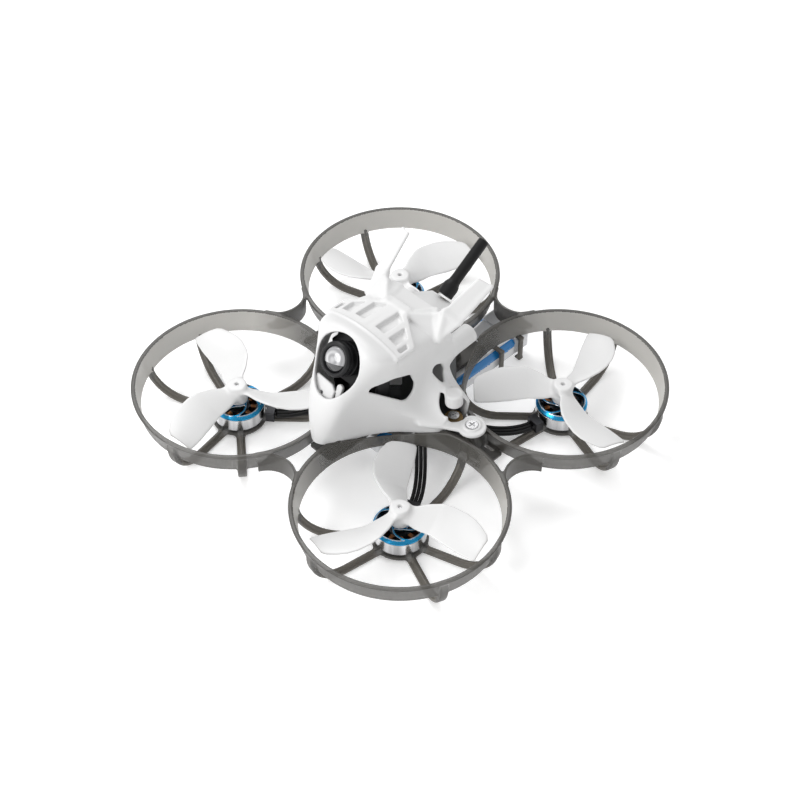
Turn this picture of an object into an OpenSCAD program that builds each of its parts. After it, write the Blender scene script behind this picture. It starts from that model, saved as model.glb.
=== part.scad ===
// Micro brushless racing quadcopter with four ducted rotors.
// Frame: +Z up, nose towards -Y, the aircraft's left side towards +X.
// Origin: on the floor, under the middle of the frame. Millimetres.

/* [Frame] */
// Diagonal distance between opposite motor shafts
wheelbase = 80.8; // [80.4:0.1:81.6]
// Height of the duct rims above the floor
rim_z = 13.5; // [13.4:0.05:13.7]
// Height of a duct wall
duct_h = 5.95; // [5.8:0.05:6]
// Radius over the duct lip
lip_r = 26.14; // [26:0.02:26.3]
// Inner radius of a duct at the rim
duct_r_top = 25; // [24.9:0.05:25.1]
// Inner radius of a duct at its lower edge
duct_r_low = 24; // [23.9:0.05:24.1]
// Wall thickness of the ducts
wall = 0.6; // [0.5:0.05:0.7]
// Width of a spoke
spoke_w = 2.2; // [1.8:0.1:2.4]
// Thickness of a spoke
spoke_t = 1.0; // [0.9:0.05:1.1]

/* [Rotors] */
// Tip radius of a propeller
prop_r = 22.5; // [22:0.1:22.8]
// Height of the propeller hub's top
hub_top = 12.4; // [12.2:0.05:12.5]
// Outer radius of a motor bell
bell_r = 6.5; // [6.4:0.02:6.6]
// Radius of the motor shaft
shaft_r = 0.5; // [0.45:0.01:0.52]
// Slots in a stator
slots = 9; // [6:3:9]
// Magnets in a rotor
poles = 12; // [10:2:12]

/* [Canopy] */
// Upward tilt of the camera and of the nose face, in degrees
tilt = 32; // [30:1:34]
// Wall thickness of the canopy
skin = 0.9; // [0.8:0.05:1]
// Distance of each ear screw from the middle
ear_x = 24.5; // [24.4:0.05:24.6]

/* [Electronics and battery] */
// Distance of the board screws from the middle
board_r = 18.38; // [18.3:0.02:18.4]
// Side of the flight board
board_w = 28; // [27:0.5:29]
// Width of the battery
batt_w = 13; // [12:0.5:13]
// Top of the battery above the floor
batt_top = 7.15; // [7:0.05:7.2]

/* [Hidden] */
$fn = 48;
DUCTS = ["front_left", "front_right", "rear_left", "rear_right"];

m = wheelbase / 2 / sqrt(2);        // motor shaft's distance from each centre plane
low_z = rim_z - duct_h;             // lower edge of the ducts
lip_h = 0.8;
SPOKES = [-140.5, -99.5, -22, 18, 97.5, 136.5];   // directions about the front left duct's axis
spoke_x = lip_r - 0.3;              // outer face of a spoke, just inside the lip's
arc_r = 10.4;                       // outer radius of a spoke's bend, which makes the foot
arc_x = spoke_x - arc_r;
rib_h = 0.6;
rib_w = 0.8;
pad_r = 7;
pad_z = 0.7;
pad_top = 1.5;
screw_pcr = 3.3;
dip_a = 142;                        // the canopy rests in a shallow dip in each rim
dip_depth = 3.1;
dip_r = 33.6;
bridge_r = 6.8;                     // concave outer wall from duct to duct
bridge_x = m + sqrt(pow(lip_r + bridge_r, 2) - m * m);
bridge_a = asin(m / (lip_r + bridge_r));
plate_t = 1;
claw_y = [1, 8.2];                  // battery claws, beyond the motor axis

base_top = 2.0;
ring_z = [2.1, 5.6];
cap_top = 6.8;
bore_gap = 0.02;
PROP_A = [13, 39, 106, 76];         // resting angle of each propeller
WIRE_A = [114, 142, 100, 142];      // side of each motor that its wires leave
WIRE_END = [[13.5, -6.4], [12.55, -7.05], [14, -5.8], [12.55, -7.05]];
WIRE_Z = [0.5, 2.5, 0.5, 2.5];      // how low each route is pulled under the duct wall

board_z = 12.4;
board_t = 0.8;
chip_z = board_z + board_t;
cam = [0, -13.15, 30.5];            // camera pivot
face = [0, -22, 33.7];              // middle of the nose face
roof = [0, -12.9, 40.3];            // front of the roof cage
roof_r = 31;
roof_slope = 3;
ant = [0, 15.4, 32.1];
ant_tilt = 34;

// ---------- helpers ----------

// Put the front left corner's shape in any corner: 0 to 3 as in DUCTS.
module corner(i) {
    mirror([i % 2 == 1 ? 1 : 0, 0, 0]) mirror([0, i > 1 ? 1 : 0, 0]) children();
}

module at_motor(i) {
    corner(i) translate([m, -m, 0]) children();
}

function motor_pos(i) = [(i % 2 == 1 ? -1 : 1) * m, (i > 1 ? 1 : -1) * m, 0];

module rounded(w, h, r) {
    square([w - 2 * r, h], center = true);
    square([w, h - 2 * r], center = true);
    for (x = [-1, 1], y = [-1, 1]) translate([x * (w / 2 - r), y * (h / 2 - r)]) circle(r);
}

module slab(w, h, r, z, t) {
    translate([0, 0, z]) linear_extrude(t) rounded(w, h, r);
}

module tube(r_out, r_in, z, h) {
    translate([0, 0, z]) difference() {
        cylinder(r = r_out, h = h);
        translate([0, 0, -1]) cylinder(r = r_in, h = h + 2);
    }
}

// Round tube along a list of points, one polyhedron. The points never run along 'across'.
function unit(v) = v / norm(v);
module swept(points, r, across, sides = 8) {
    n = len(points);
    ring = [for (i = [0 : n - 1])
        let (t = unit(points[min(i + 1, n - 1)] - points[max(i - 1, 0)]),
             u = unit(cross(t, across)), v = cross(t, u))
        for (k = [0 : sides - 1]) points[i] + r * (cos(k * 360 / sides) * u + sin(k * 360 / sides) * v)];
    walls = [for (i = [0 : n - 2], k = [0 : sides - 1])
        let (a = i * sides + k, b = i * sides + (k + 1) % sides) [a, b, b + sides, a + sides]];
    ends = [[for (k = [sides - 1 : -1 : 0]) k], [for (k = [0 : sides - 1]) (n - 1) * sides + k]];
    polyhedron(ring, concat(walls, ends));
}

function bezier(p, t) = pow(1 - t, 3) * p[0] + 3 * t * pow(1 - t, 2) * p[1]
    + 3 * t * t * (1 - t) * p[2] + pow(t, 3) * p[3];

// ---------- frame ----------

// The duct before it is bored out.
module duct_disc() {
    rotate_extrude($fn = 128)
        polygon([[0, low_z], [duct_r_low + wall, low_z], [duct_r_top + wall, rim_z - lip_h],
                 [lip_r, rim_z - lip_h], [lip_r, rim_z], [0, rim_z]]);
}

module duct_bore() {
    slope = (duct_r_top - duct_r_low) / duct_h;
    translate([0, 0, low_z - 0.5])
        cylinder(r1 = duct_r_low - 0.5 * slope, r2 = duct_r_top + slope, h = duct_h + 1.5, $fn = 128);
    rotate([0, 0, dip_a]) translate([18, 0, rim_z - dip_depth + dip_r]) rotate([0, 90, 0])
        cylinder(r = dip_r, h = 12, $fn = 128);
}

module spoke_section() {
    translate([arc_r - spoke_t, -spoke_w / 2]) square([spoke_t, spoke_w]);
    translate([arc_r - spoke_t - rib_h, -rib_w / 2]) square([rib_h + spoke_t / 2, rib_w]);
}

module spoke() {
    translate([arc_x, 0, arc_r]) rotate([90, 0, 0])
        rotate_extrude(start = 270, angle = 90, $fn = 96) spoke_section();
    translate([pad_r - 1, -spoke_w / 2, 0]) cube([arc_x - pad_r + 1, spoke_w, spoke_t]);
    translate([pad_r - 1, -rib_w / 2, spoke_t / 2])
        cube([arc_x - pad_r + 1, rib_w, spoke_t / 2 + rib_h]);
    translate([spoke_x - spoke_t, -spoke_w / 2, arc_r])
        cube([spoke_t, spoke_w, rim_z - lip_h / 2 - arc_r]);
}

// Flat gusset where the two spokes of a pair meet the motor pad.
module gusset(a0, a1) {
    linear_extrude(spoke_t) intersection() {
        circle(10);
        polygon([[0, 0], 14 * [cos(a0), sin(a0)], 14 * [cos(a1), sin(a1)]]);
    }
}

module battery_claw(y) {
    x_side = batt_w / 2 + 0.25 - m;
    x_wall = -sqrt(pow(duct_r_low + wall / 2, 2) - y * y);
    translate([x_wall, -y - 0.7, low_z]) cube([x_side + 0.8 - x_wall, 1.4, 0.6]);
    translate([x_side, -y - 0.7, 0.6]) cube([0.8, 1.4, low_z - 0.6 + 0.6]);
    translate([x_side - 1.2, -y - 0.7, 0.6]) cube([1.3, 1.4, 0.7]);
}

module duct(i) {
    color([0.36, 0.35, 0.33, 0.7]) at_motor(i) {
        difference() {
            union() {
                duct_disc();
                for (a = SPOKES) rotate([0, 0, a]) spoke();
                for (k = [0, 2, 4]) gusset(SPOKES[k], SPOKES[k + 1]);
                translate([0, 0, pad_z]) cylinder(r = pad_r, h = pad_top - pad_z);
                for (s = [0, 1]) mirror([s, s, 0]) rotate([0, 0, bridge_a - 4])
                    rotate_extrude(angle = 8, $fn = 128) translate([duct_r_low, low_z])
                        square([lip_r - 0.1 - duct_r_low, duct_h - lip_h / 2]);
            }
            duct_bore();
            translate([0, 0, -1]) cylinder(r = 1.2, h = 4);
            for (a = [30, 150, 270]) rotate([0, 0, a]) translate([screw_pcr, 0, -1]) {
                cylinder(r = 0.75, h = 4);
                cylinder(r = 1.3, h = pad_z + 1.02);
            }
        }
        if (i > 1) for (y = claw_y) battery_claw(y);
    }
}

module bridge() {
    difference() {
        translate([bridge_x, 0, 0]) rotate_extrude(start = 180 - bridge_a, angle = 2 * bridge_a, $fn = 96)
            translate([bridge_r, low_z]) square([0.7, duct_h]);
        for (s = [-1, 1]) translate([m, s * m, 0]) cylinder(r = lip_r - 0.2, h = 30, $fn = 128);
    }
}

module frame_bridges() {
    color([0.36, 0.35, 0.33, 0.7]) for (a = [0 : 90 : 270]) rotate([0, 0, a]) bridge();
}

module centre_outline() {
    difference() {
        union() {
            square([63, 8.2], center = true);
            square([8, 55], center = true);
            circle(12.9);
        }
        for (i = [0 : 3]) translate(motor_pos(i)) circle(duct_r_low + wall + 0.25, $fn = 128);
        for (s = [-1, 1]) translate([0, s * 5]) square([9.6, 7], center = true);
        for (s = [-1, 1]) translate([s * 28.2, 0]) rounded(2.6, 1.4, 0.5);
    }
}

module frame_centre() {
    color([0.36, 0.35, 0.33, 0.7]) difference() {
        union() {
            translate([0, 0, low_z]) linear_extrude(plate_t) centre_outline();
            for (a = [0 : 90 : 270]) rotate([0, 0, a])
                translate([board_r, 0, low_z]) cylinder(r = 2.2, h = board_z - 0.8 - low_z);
            for (s = [-1, 1]) translate([s * ear_x, 0, low_z]) cylinder(r = 2.4, h = 14.45 - low_z);
            for (s = [0, 1]) mirror([s, 0, 0]) translate([batt_w / 2 + 0.25, -9.7, 0.6]) {
                cube([0.8, 1.4, low_z]);
                translate([-1.2, 0, 0]) cube([1.3, 1.4, 0.7]);
            }
        }
        for (a = [0 : 90 : 270]) rotate([0, 0, a]) translate([board_r, 0, 5]) cylinder(r = 0.65, h = 20);
        for (s = [-1, 1]) translate([s * ear_x, 0, 5]) cylinder(r = 0.65, h = 20);
    }
}

// ---------- rotors ----------

module blade_outline() {
    intersection() {
        circle(prop_r, $fn = 128);
        polygon([[0, -1.4], [3, -1.5], [8.3, -1.5], [14.4, -2.5], [19.3, -3.3], [24, -3.4],
                 [24, 1.6], [21.5, 3.8], [19.3, 5.6], [17, 6.6], [14.4, 7.1], [11, 6.9], [8.3, 6], [5, 3.6],
                 [3, 2.2], [0, 1.6]]);
    }
}

module blade() {
    translate([0, 1.8, 0]) rotate([17, 0, 0]) translate([0, -1.8, -0.4]) linear_extrude(0.8) blade_outline();
}

module propeller(i) {
    color([0.96, 0.96, 0.96]) translate(motor_pos(i)) difference() {
        union() {
            translate([0, 0, cap_top]) cylinder(r = 2.4, h = hub_top - cap_top);
            intersection() {
                for (k = [0 : 2]) rotate([0, 0, PROP_A[i] + 120 * k])
                    mirror([0, i == 1 || i == 2 ? 1 : 0, 0]) translate([0, 0, hub_top - 2.1]) blade();
                translate([0, 0, 8.5]) cylinder(r = prop_r, h = 3.7, $fn = 128);
            }
        }
        translate([0, 0, 5]) cylinder(r = shaft_r, h = 10);
    }
}

module rotor_bell(i) {
    color([0.12, 0.45, 0.78]) translate(motor_pos(i)) difference() {
        rotate_extrude() polygon([[0, 5.95], [4.9, 5.95], [4.9, 5.6], [bell_r, 5.6], [bell_r, 5.9],
                                  [5.7, cap_top], [0, cap_top]]);
        translate([0, 0, 5]) cylinder(r = shaft_r, h = 5);
        for (k = [0 : 4]) rotate([0, 0, 72 * k]) linear_extrude(20) intersection() {
            difference() {
                circle(4.6);
                circle(2.3);
            }
            translate([0, 0.55]) polygon([[0, 0], [9, 1.2], [6, 8.6], [1.2, 4.2]]);
        }
    }
}

module flux_ring(i) {
    color([0.85, 0.85, 0.86]) translate(motor_pos(i))
        tube(bell_r, bell_r - 0.5, ring_z[0], ring_z[1] - ring_z[0]);
}

module rotor_magnets(i) {
    color([0.45, 0.45, 0.47]) translate(motor_pos(i)) for (k = [0 : poles - 1])
        rotate([0, 0, 360 / poles * k]) intersection() {
            tube(bell_r - 0.5, bell_r - 1.0, ring_z[0] + 0.3, 3);
            translate([0, -1.3, 0]) cube([10, 2.6, 10]);
        }
}

module shaft(i) {
    color([0.75, 0.75, 0.77]) translate(motor_pos(i)) translate([0, 0, pad_top + 0.2])
        cylinder(r = shaft_r, h = hub_top - 0.7 - pad_top - 0.2);
}

module motor_base(i) {
    color([0.12, 0.12, 0.13]) {
        at_motor(i) difference() {
            union() {
                translate([0, 0, pad_top]) cylinder(r = 5.1, h = base_top - pad_top);
                translate([0, 0, base_top]) cylinder(r = 2, h = 3.7);
            }
            translate([0, 0, base_top]) cylinder(r = 1.5, h = 6);
            cylinder(r = 0.8, h = 6);
            for (a = [30, 150, 270]) rotate([0, 0, a]) translate([screw_pcr, 0, 0])
                cylinder(r = 0.6, h = 6);
        }
        at_motor(i) rotate([0, 0, WIRE_A[i]]) translate([7, -1.8, pad_top + 0.2]) cube([2.2, 3.6, 2.8]);
    }
}

// Nine T-shaped teeth on a hub, with the coils wound between hub and tooth tips.
module tooth_outline() {
    translate([0, -0.35]) square([4.6, 0.7]);
    intersection() {
        difference() {
            circle(5.15);
            circle(4.6);
        }
        rotate([0, 0, -15]) square([8, 8]);
        rotate([0, 0, 15 - 90]) square([8, 8]);
    }
}

module stator_cores() {
    color([0.3, 0.3, 0.32]) for (i = [0 : 3]) translate(motor_pos(i)) translate([0, 0, 2.9])
        linear_extrude(2) difference() {
            union() {
                circle(2.7);
                for (k = [0 : slots - 1]) rotate([0, 0, 360 / slots * k]) tooth_outline();
            }
            circle(2);
        }
}

module stator_windings() {
    color([0.72, 0.4, 0.18]) for (i = [0 : 3]) translate(motor_pos(i))
        for (k = [0 : slots - 1]) rotate([0, 0, 360 / slots * k]) difference() {
            translate([2.9, -0.75, 2.45]) cube([1.6, 1.5, 2.9]);
            translate([2, -0.35, 2.9]) cube([4, 0.7, 2]);
        }
}

module motor_bearings() {
    color([0.8, 0.8, 0.82]) for (i = [0 : 3]) translate(motor_pos(i))
        for (z = [base_top, 4.7]) tube(1.5, shaft_r + bore_gap, z, 1);
}

module motor_screws() {
    color([0.15, 0.15, 0.16]) for (i = [0 : 3]) at_motor(i) for (a = [30, 150, 270])
        rotate([0, 0, a]) translate([screw_pcr, 0, 0]) difference() {
            union() {
                translate([0, 0, 0.15]) cylinder(r = 1.15, h = pad_z - 0.15);
                translate([0, 0, pad_z]) cylinder(r = 0.6, h = 1.2);
            }
            cylinder(r = 0.55, h = 0.45, $fn = 6);
        }
}

// Three flat silicone wires side by side, from the motor to the board.
module motor_wires(i) {
    out = [cos(WIRE_A[i]), sin(WIRE_A[i]), 0];
    start = [m, -m, 3.1] + 9.95 * out;
    end = [WIRE_END[i].x, WIRE_END[i].y, board_z - 0.1];
    side = unit(cross([end.x - start.x, end.y - start.y, 0], [0, 0, 1]));
    route = [start, start + 6 * out, [end.x, end.y, WIRE_Z[i]], end];
    color([0.06, 0.06, 0.06]) corner(i) for (k = [-1 : 1]) translate(k * 1.05 * side)
        swept([for (t = [0 : 0.1 : 1]) bezier(route, t)], 0.45, side);
}

// ---------- canopy ----------

// Stations along the hull: y, top, half width at the top, arch height, half width at the base.
HULL = [[-30, 20.5, 1.6, 1.5, 2.2], [-28.6, 23.2, 4.4, 3.5, 4.6], [-26, 27.3, 6.8, 4.5, 7.4],
        [-21.5, 34.5, 8.4, 5, 10], [-17.6, 40.2, 9.6, 5, 12], [-15, 40.4, 11, 4, 13],
        [-12.9, 39.2, 11.8, 2.6, 14], [-4, 37.2, 11.8, 2.4, 18], [1, 35, 11.4, 3, 21],
        [5, 32.3, 11.3, 4, 19], [7.2, 30.6, 11, 4, 17]];
hull_low = 10.5;

module hull_slice(s, t) {
    translate([0, s[0], 0]) rotate([90, 0, 0]) linear_extrude(0.02)
        polygon(concat([[-s[4] + t, hull_low - 4 * t], [s[4] - t, hull_low - 4 * t]],
            [for (a = [0 : 15 : 180]) [(s[2] - t) * cos(a), s[1] - s[3] - t + s[3] * sin(a)]]));
}

// The canopy's outer body, or its inside when t is the wall thickness.
module hull_body(t) {
    difference() {
        for (k = [0 : len(HULL) - 2]) hull() {
            hull_slice(HULL[k] + [t > 0 && k == 0 ? 1.6 : 0, 0, 0, 0, 0], t);
            hull_slice(HULL[k + 1] + [t > 0 && k == len(HULL) - 2 ? 3 : 0, 0, 0, 0, 0], t);
        }
        hull_cuts(t);
    }
}

// The hollows in the hull that make room for the ducts, grown by t.
module hull_cuts(t) {
    for (i = [0 : 3]) translate(motor_pos(i)) translate([0, 0, 5])
        cylinder(r1 = duct_r_top + 0.9 + t, r2 = duct_r_top - 3.1 + t, h = 42, $fn = 96);
}

module on_face() {
    translate(face) rotate([90 - tilt, 0, 0]) children();
}

module ear() {
    translate([0, 0, 14.5]) linear_extrude(1) {
        translate([ear_x, 0]) circle(3.5);
        polygon([[13, -9], [18, -6], [ear_x, -3.5], [ear_x - 3.2, -1.4], [19, -3.1], [13, -3.1]]);
    }
    translate([ear_x, 0, 15.5]) cylinder(r = 2.2, h = 0.5);
}

// Clearance round a duct: its rim with the dip that the canopy rests in.
module rim_space(i) {
    at_motor(i) difference() {
        cylinder(r = lip_r + 0.2, h = rim_z + 0.15, $fn = 96);
        rotate([0, 0, dip_a]) translate([18, 0, rim_z - dip_depth + dip_r]) rotate([0, 90, 0])
            cylinder(r = dip_r - 0.15, h = 12, $fn = 96);
    }
}

module canopy_shell() {
    color([0.95, 0.95, 0.95]) difference() {
        union() {
            difference() {
                hull_body(0);
                hull_body(skin);
            }
            for (s = [0, 1]) mirror([s, 0, 0]) {
                ear();
                translate([9.5, 5, 22.5]) rotate([-90, 0, 0]) cylinder(r = 3.2, h = 12);
            }
        }
        for (i = [0 : 3]) rim_space(i);
        // camera window, side windows and the round holes behind them
        on_face() translate([0, 0, -8]) linear_extrude(20) {
            translate([0, 1.5]) circle(6.9);
            translate([0, -3.4]) circle(4.9);
            polygon([[-6.6, 3], [6.6, 3], [4.8, -4.2], [-4.8, -4.2]]);
        }
        rotate([90, 0, 90]) translate([0, 0, -30]) linear_extrude(60) {
            translate([-9.8, 25.4]) circle(4.3);
            translate([-19.2, 29]) circle(1.2);
            polygon([[-19.6, 30.2], [-8.6, 29.5], [-10.6, 21.2], [-19.6, 27.9]]);
            translate([2.3, 24]) circle(1.5);
        }
        for (s = [0, 1]) mirror([s, 0, 0]) {
            translate([9.5, 4, 22.5]) rotate([-90, 0, 0]) cylinder(r = 2.4, h = 20);
            translate([14, 0, 18]) rotate([0, 90, 0]) cylinder(r = 3, h = 9);
            translate([14, -3, 10]) cube([7, 6, 8]);
            translate([ear_x, 0, 14]) cylinder(r = 0.75, h = 4);
            translate([ear_x, 0, 15.1]) cylinder(r = 1.6, h = 4);
        }
        rotate([0, 0, 135]) translate([12, -5, 13.4]) cube([8, 10, 4.4]);
    }
}

module on_roof() {
    translate(roof) rotate([-roof_slope, 0, 0]) children();
}

module roof_outline() {
    polygon([[-12, 0], [12, 0], [12, 5.8], [3.3, 11.6], [-3.3, 11.6], [-12, 5.8]]);
}

module roof_windows() {
    for (s = [-1, 1]) {
        translate([s * 3.3 - 1.3, 3.2]) square([2.6, 6.6]);
        translate([s * 7.6 - 1.1, 3]) square([2.2, 4]);
        translate([s * 10.4 - 0.7, 2.4]) square([1.4, 2.6]);
    }
}

module fin_panel(points) {
    hull() for (p = points) translate(p) sphere(r = 0.5, $fn = 16);
}

NECK = [3.3, -1.4, 38.9];
NOTCH = [6.2, 6.2, 36.9];
ROOT = [8.4, 3.9, 38.2];
FIN = [[11.6, 1.2, 34.6], [11.6, 14.4, 45.5], [14.7, 15.8, 44.3], [12.2, 11.6, 32.8]];

module on_antenna() {
    translate(ant) rotate([ant_tilt - 90, 0, 0]) children();
}

module canopy_tail() {
    color([0.94, 0.94, 0.94]) {
        on_roof() intersection() {
            translate([0, 0, -roof_r]) rotate([-90, 0, 0]) tube(roof_r, roof_r - 1, -1, 24, $fn = 128);
            translate([0, 0, -6]) linear_extrude(8) difference() {
                roof_outline();
                roof_windows();
            }
        }
        for (s = [0, 1]) mirror([s, 0, 0]) {
            fin_panel([NOTCH, FIN[0], ROOT, NECK]);
            fin_panel([ROOT, FIN[0], FIN[1], FIN[2]]);
            fin_panel([FIN[0], FIN[2], FIN[3]]);
        }
        difference() {
            union() {
                fin_panel([[-3.3, -1.4, 38.9], [3.3, -1.4, 38.9], [5, 5.4, 36.6], [-5, 5.4, 36.6]]);
                fin_panel([[-5, 5.4, 36.2], [5, 5.4, 36.2], [4, 15, 30.6], [-4, 15, 30.6]]);
                on_antenna() translate([0, 0, -1.2]) cylinder(r = 2.9, h = 2.8);
            }
            on_antenna() cylinder(r = 2.1, h = 20);
        }
    }
}

module canopy_screws() {
    color([0.7, 0.7, 0.72]) for (s = [-1, 1]) translate([s * ear_x, 0, 0]) cross_screw(10, 15.12, 1.45, 0.6);
}

module cross_screw(z0, head_z, head_r, shank_r) {
    difference() {
        union() {
            translate([0, 0, z0]) cylinder(r = shank_r, h = head_z - z0);
            translate([0, 0, head_z]) cylinder(r = head_r, h = 0.8);
        }
        for (a = [0, 90]) rotate([0, 0, a]) translate([-0.9, -0.18, head_z + 0.35]) cube([1.8, 0.36, 1]);
    }
}

// ---------- electronics ----------

module flight_board() {
    color([0.08, 0.1, 0.09]) translate([0, 0, board_z]) linear_extrude(board_t) difference() {
        intersection() {
            rotate([0, 0, 45]) rounded(board_w, board_w, 1);
            circle(20.2);
        }
        for (a = [0 : 90 : 270]) rotate([0, 0, a]) translate([board_r, 0]) circle(1.6);
    }
}

module board_chips() {
    color([0.14, 0.14, 0.15]) {
        rotate([0, 0, 45]) {
            translate([-3.5, -10, 0]) slab(7, 7, 0.3, chip_z, 0.9);
            translate([5.5, -11, 0]) slab(4, 4, 0.2, chip_z, 0.8);
            for (x = [-10, -3.4, 3.4, 10], y = [-1, 1]) translate([x, y * 4.2, 0])
                slab(3.2, 3.2, 0.2, board_z - 0.9, 0.9);
            for (s = [-1, 1], x = [6.5 : 2 : 12.5]) translate([s * x, 8.5, 0]) slab(1, 0.6, 0.05, chip_z, 0.5);
        }
    }
}

module shield_can() {
    color([0.75, 0.75, 0.77]) rotate([0, 0, 45]) translate([-5, 1.5, 0]) difference() {
        slab(11, 9, 0.5, chip_z, 1.8);
        slab(10.5, 8.5, 0.3, chip_z - 1, 2.55);
    }
}

module usb_socket() {
    color([0.78, 0.78, 0.8]) rotate([0, 0, 135]) translate([10.6, 0, chip_z + 1.6])
        rotate([0, 90, 0]) difference() {
            translate([0, 0, -3.3]) linear_extrude(6.9) rounded(3.2, 8.9, 1.55);
            translate([0, 0, -2]) linear_extrude(7) rounded(2.6, 8.3, 1.25);
        }
    color([0.1, 0.1, 0.1]) rotate([0, 0, 135]) translate([8.6, -3.3, chip_z + 1.25]) cube([4.4, 6.6, 0.7]);
}

module button_case() {
    color([0.7, 0.7, 0.7]) translate([7.6, 7.4, 0]) rotate([0, 0, 45]) difference() {
        slab(3.4, 3.4, 0.4, chip_z, 1.3);
        translate([0, 0, chip_z + 0.4]) cylinder(r = 0.95, h = 2);
    }
}

module bind_button() {
    color([0.1, 0.1, 0.1]) translate([7.6, 7.4, chip_z + 0.7]) cylinder(r = 0.9, h = 1);
}

module board_grommets() {
    color([0.45, 0.33, 0.12]) for (a = [0 : 90 : 270]) rotate([0, 0, a]) translate([board_r, 0, 0])
        rotate_extrude() polygon([[0.75, board_z - 0.8], [2.3, board_z - 0.8], [2.3, board_z],
            [1.6, board_z], [1.6, chip_z], [2.3, chip_z], [2.3, chip_z + 0.7], [0.75, chip_z + 0.7]]);
}

module board_screws() {
    color([0.75, 0.75, 0.77]) for (a = [0 : 90 : 270]) rotate([0, 0, a]) translate([board_r, 0, 0])
        cross_screw(8.6, chip_z + 0.7, 1.4, 0.6);
}

// ---------- camera ----------

module on_camera() {
    translate(cam) rotate([90 - tilt, 0, 0]) children();
}

// In camera coordinates +Z looks out of the lens and the pivot is the origin.
module camera_case() {
    color([0.08, 0.08, 0.08]) on_camera() difference() {
        translate([0, 0, -3.5]) linear_extrude(7.5) rounded(12.2, 11, 1.2);
        translate([0, 0, -5]) linear_extrude(3) rounded(11, 9.8, 0.8);
        for (s = [0, 1]) mirror([s, 0, 0]) translate([5, 0, 0]) rotate([0, 90, 0])
            cylinder(r = 0.6, h = 3);
    }
}

module lens_barrel() {
    color([0.1, 0.1, 0.1]) on_camera() rotate_extrude($fn = 64)
        polygon([[0, 4], [4.1, 4], [4.1, 8], [4.6, 8.2], [4.6, 10.2], [4.3, 10.5], [3.2, 10.5],
                 [3, 9.6], [0, 9.6]]);
}

module lens_glass() {
    color([0.55, 0.6, 0.68, 0.6]) on_camera() intersection() {
        translate([0, 0, 6.7]) sphere(r = 4.2);
        translate([0, 0, 9.6]) cylinder(r = 2.95, h = 3);
    }
}

module camera_bracket() {
    color([0.93, 0.93, 0.93]) {
        difference() {
            for (s = [0, 1]) mirror([s, 0, 0]) {
                translate([6.7, cam.y - 3, 16]) cube([1, 6, cam.z + 3 - 16]);
                translate([-0.1, cam.y - 3, 16]) cube([7, 6, 1]);
            }
            for (s = [-1, 1]) translate([s * 6, cam.y, cam.z]) rotate([0, s * 90, 0]) cylinder(r = 0.7, h = 3);
            hull_cuts(skin + 0.03);
        }
        on_face() translate([0, 0, -2.4]) linear_extrude(0.8) polygon([[-4.4, -5], [-2.7, -11],
            [2.7, -11], [4.4, -5], [1.2, -5], [0.8, -5.8], [-0.8, -5.8], [-1.2, -5]]);
        translate([-1, -20, 19]) cube([2, 7, 1]);
    }
}

module camera_pivots() {
    color([0.7, 0.7, 0.72]) for (s = [0, 1]) mirror([s, 0, 0]) translate([0, cam.y, cam.z])
        rotate([0, 90, 0]) {
            translate([0, 0, 5.05]) cylinder(r = 0.57, h = 2.65);
            translate([0, 0, 7.7]) cylinder(r = 1.1, h = 0.5);
        }
}

// ---------- antenna ----------

module antenna_sleeve() {
    color([0.08, 0.08, 0.08]) on_antenna() rotate_extrude()
        polygon([[0.5, 0], [2.05, 0], [2.05, 3], [1.45, 4.1], [1.4, 16.6], [0.5, 16.6]]);
}

module antenna_core() {
    color([0.7, 0.55, 0.3]) on_antenna() translate([0, 0, 0.2]) cylinder(r = 0.5, h = 16);
}

// ---------- battery ----------

module battery_solid(w, h, r, y0, y1) {
    translate([0, y1, batt_top - h / 2]) rotate([90, 0, 0]) linear_extrude(y1 - y0) rounded(w, h, r);
}

module battery_cell() {
    color([0.95, 0.95, 0.95]) battery_solid(batt_w - 0.4, 5.6, 1.2, -14, 36);
}

module battery_wrap() {
    color([0.1, 0.42, 0.75]) difference() {
        translate([0, 0, 0.1]) battery_solid(batt_w, 5.8, 1.3, -13.2, 36);
        battery_solid(batt_w - 0.4, 5.6, 1.2, -40, 45);
        translate([-20, -50, 0]) cube([40, 100, batt_top - 1.5]);
    }
}

module battery_end_cap() {
    color([0.9, 0.9, 0.9]) difference() {
        battery_solid(batt_w - 0.6, 5.4, 1, 36, 40.5);
        for (s = [-1, 1]) translate([s * 2.4, 41, batt_top - 2.7]) rotate([90, 0, 0])
            cylinder(r = 1, h = 3.5);
    }
}

for (i = [0 : 3]) {
    duct(i);
    propeller(i);
    rotor_bell(i);
    flux_ring(i);
    rotor_magnets(i);
    shaft(i);
    motor_base(i);
    motor_wires(i);
}
frame_centre();
frame_bridges();
stator_cores();
stator_windings();
motor_bearings();
motor_screws();
canopy_shell();
canopy_tail();
canopy_screws();
flight_board();
board_chips();
shield_can();
usb_socket();
button_case();
bind_button();
board_grommets();
board_screws();
camera_case();
lens_barrel();
lens_glass();
camera_bracket();
camera_pivots();
antenna_sleeve();
antenna_core();
battery_cell();
battery_wrap();
battery_end_cap();
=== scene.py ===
import math

import bmesh
import bpy
import numpy as np
from mathutils import Matrix, Vector


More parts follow.
